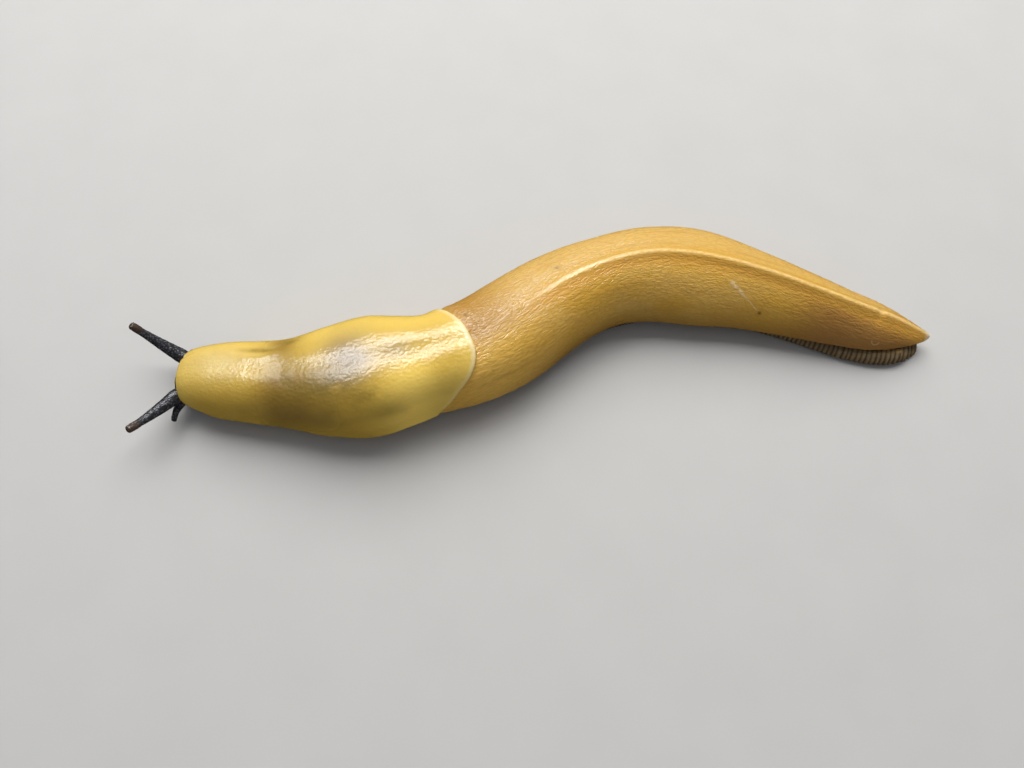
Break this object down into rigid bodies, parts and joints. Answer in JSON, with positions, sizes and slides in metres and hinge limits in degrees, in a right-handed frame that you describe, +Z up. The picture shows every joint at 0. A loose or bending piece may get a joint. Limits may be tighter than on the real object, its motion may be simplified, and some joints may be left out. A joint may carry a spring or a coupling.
{
  "type": "banana slug, life-size still model",
  "caption": "Long, keeled land slug creeping on a flat sole, with a saddle mantle, a ribbed foot fringe and two pairs of tentacles.",
  "frame": {"origin": "centre of the bounding box in plan, on the plane of the sole", "axes": "+Z up from the sole; the slug faces -X and its right side is +Y; the back bends in plan, so no axis is one of symmetry"},
  "size_m": [0.1866, 0.055, 0.0191],
  "materials": {
    "mantle": "wet",
    "body": "wet",
    "foot": "wet",
    "head": "wet",
    "tentacle": "wet",
    "eye": "gloss"
  },
  "bodies": {
    "root": {"head": "head", "neck": "body", "torso_front": "body", "torso_middle": "body", "torso_rear": "body", "tail_front": "body", "tail_tip": "body", "mantle_hood": "mantle", "mantle_shield": "mantle", "foot_front": "foot", "foot_middle": "foot", "foot_rear": "foot", "tentacle_upper_left": "tentacle", "tentacle_upper_right": "tentacle", "tentacle_lower_left": "tentacle", "tentacle_lower_right": "tentacle", "eye_left": "eye", "eye_right": "eye"}
  },
  "joints": []
}
